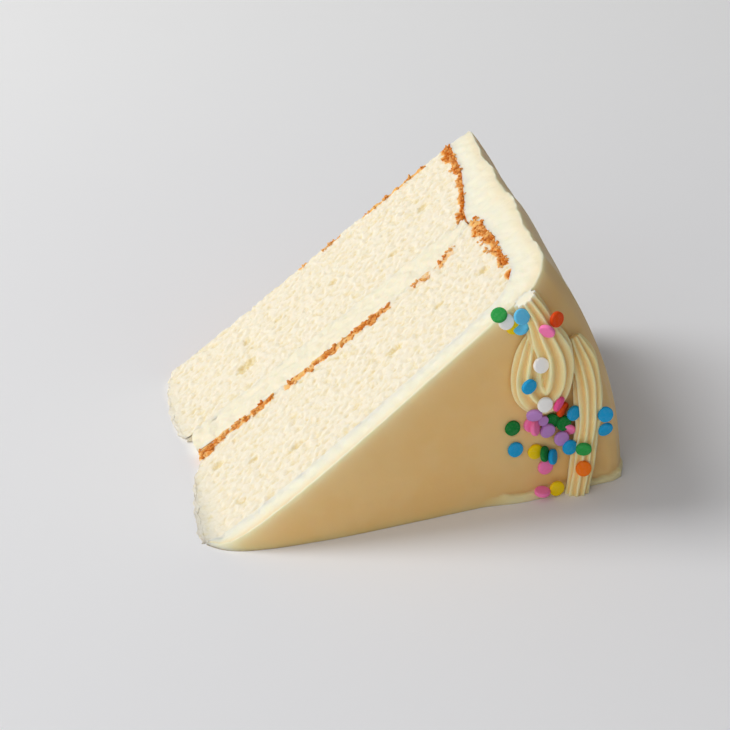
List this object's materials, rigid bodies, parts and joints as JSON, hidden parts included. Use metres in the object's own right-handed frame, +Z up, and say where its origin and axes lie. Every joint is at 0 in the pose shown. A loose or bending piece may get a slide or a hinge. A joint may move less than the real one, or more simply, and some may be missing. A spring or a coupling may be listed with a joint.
{
  "type": "birthday cake slice",
  "caption": "Wedge slice of a round layered sponge cake with cream filling and frosting, lying on its cut side, with a piped shell border and confetti sprinkles.",
  "frame": {"origin": "under the middle of the slice's bounding box, on the surface that it lies on", "axes": "+X from the slice's tip along its lower cut to the cake's rim, -Y out of the cake's frosted top face, +Z up"},
  "size_m": [0.1256, 0.1026, 0.0711],
  "materials": {
    "sponge": "matte pale yellow sponge crumb with browned edges",
    "buttercream": "satin pale yellow buttercream",
    "confetti": "matte sugar discs in mixed bright colours"
  },
  "bodies": {
    "root": {"bottom_layer": "sponge", "filling": "buttercream", "top_layer": "sponge", "frosting_coat": "buttercream", "piped_border": "buttercream"}
  },
  "joints": []
}
